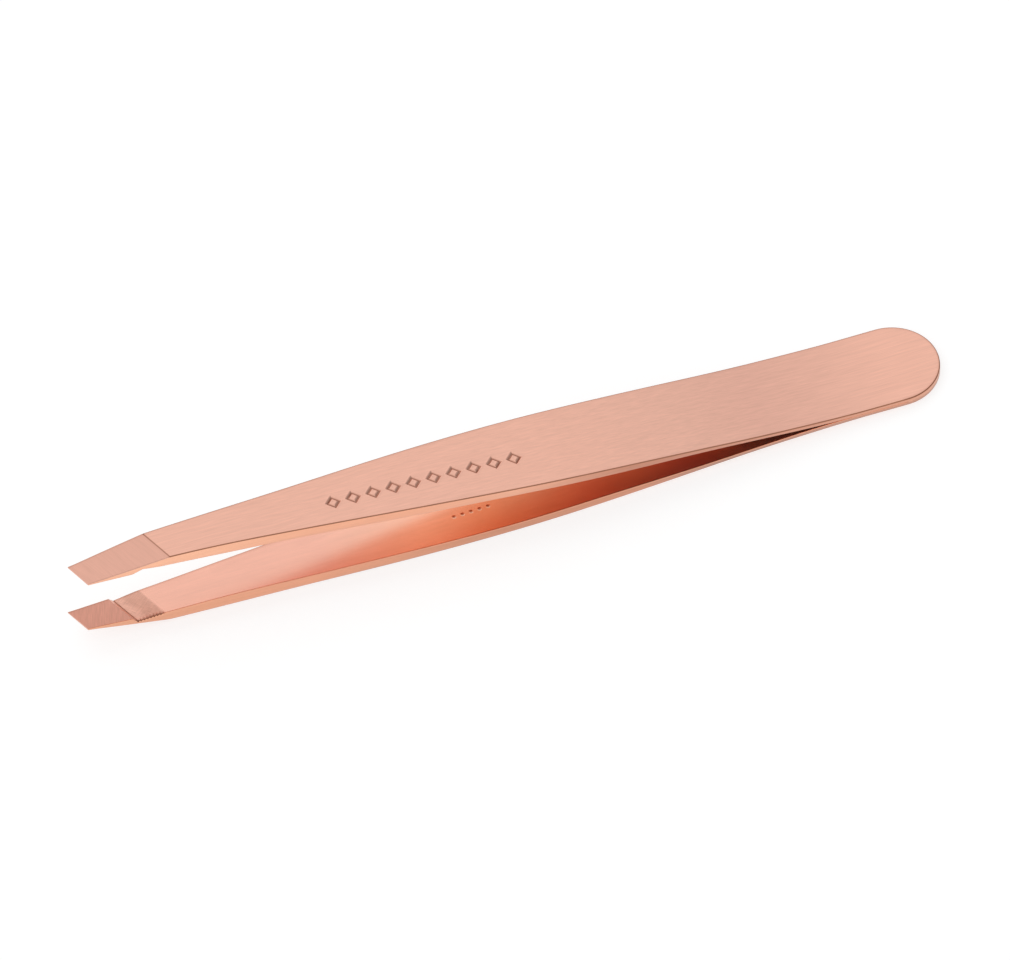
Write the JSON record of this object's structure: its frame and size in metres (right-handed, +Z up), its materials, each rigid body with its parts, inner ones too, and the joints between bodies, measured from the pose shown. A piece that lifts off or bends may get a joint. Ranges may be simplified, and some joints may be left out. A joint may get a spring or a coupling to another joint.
{
  "type": "slant tweezers",
  "caption": "Slant-tip tweezers: sprung steel arms welded at a round heel, bowed and tapering to flat jaws with a slanted gripping edge that meet when squeezed.",
  "frame": {"origin": "centre of the bounding box, on the table that the tweezers lie on", "axes": "+X from the tips to the welded heel, +Z up from the table, +Y across the arms"},
  "size_m": [0.0968, 0.0102, 0.0109],
  "materials": {
    "rose_gold_steel": "rose gold coated stainless steel, brushed along the length",
    "weld_metal": "weld ground flush and coated with the arms"
  },
  "bodies": {
    "heel": {"upper_heel_plate": "rose_gold_steel", "lower_heel_plate": "rose_gold_steel", "weld_bead": "weld_metal"},
    "upper_arm": {"upper_blade": "rose_gold_steel"},
    "lower_arm": {"lower_blade": "rose_gold_steel"}
  },
  "joints": [
    {"name": "upper_arm_flex", "type": "hinge", "parent": "heel", "child": "upper_arm", "pos_m": [0.02835, 0, 0.00214], "axis": [0, -1, 0], "range_deg": [0, 2.68], "stiffness_Nm_per_rad": 1.2},
    {"name": "lower_arm_flex", "type": "hinge", "parent": "heel", "child": "lower_arm", "pos_m": [0.02829, 0, 0.00122], "axis": [0, 1, 0], "range_deg": [0, 2.68], "stiffness_Nm_per_rad": 1.2}
  ]
}
